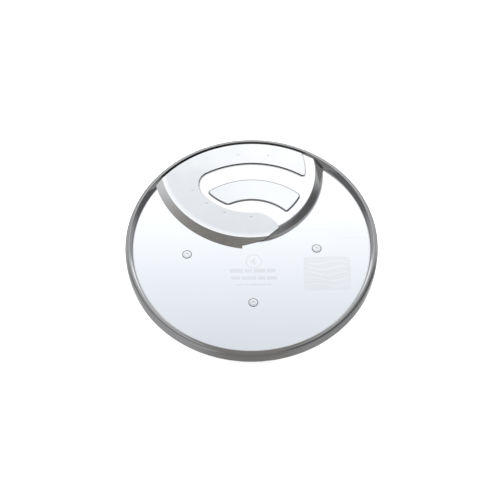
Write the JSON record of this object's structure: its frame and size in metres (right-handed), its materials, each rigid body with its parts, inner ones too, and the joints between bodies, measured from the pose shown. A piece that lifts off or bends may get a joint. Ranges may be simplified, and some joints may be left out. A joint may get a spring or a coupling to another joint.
{
  "type": "food processor slicing disc",
  "caption": "Round polished steel slicing disc with a rolled rim, a raised lens-shaped platform, a crescent blade with an arm over a slot, an embossed pad and a riveted drive hub underneath.",
  "frame": {"origin": "the drive axis where it meets the surface that the hub stands on, which is the bottom centre of the bounding box", "axes": "+Z is the drive axis, upwards; the blade's cutting edge faces -X and -Y; the raised platform lies towards +Y"},
  "size_m": [0.1744, 0.1744, 0.0235],
  "materials": {
    "pressed_steel": "polished, near mirror",
    "ground_blade_steel": "satin with a finely ground bevel",
    "carrier_plastic": "fine moulded texture",
    "socket_metal": "turned, satin",
    "rivet_metal": "satin"
  },
  "bodies": {
    "root": {"disc_plate": "pressed_steel", "slicing_blade": "ground_blade_steel", "hub_carrier": "carrier_plastic", "drive_socket": "socket_metal", "rivet_left": "rivet_metal", "rivet_front": "rivet_metal", "rivet_right": "rivet_metal", "washer_left": "rivet_metal", "washer_front": "rivet_metal", "washer_right": "rivet_metal"}
  },
  "joints": []
}
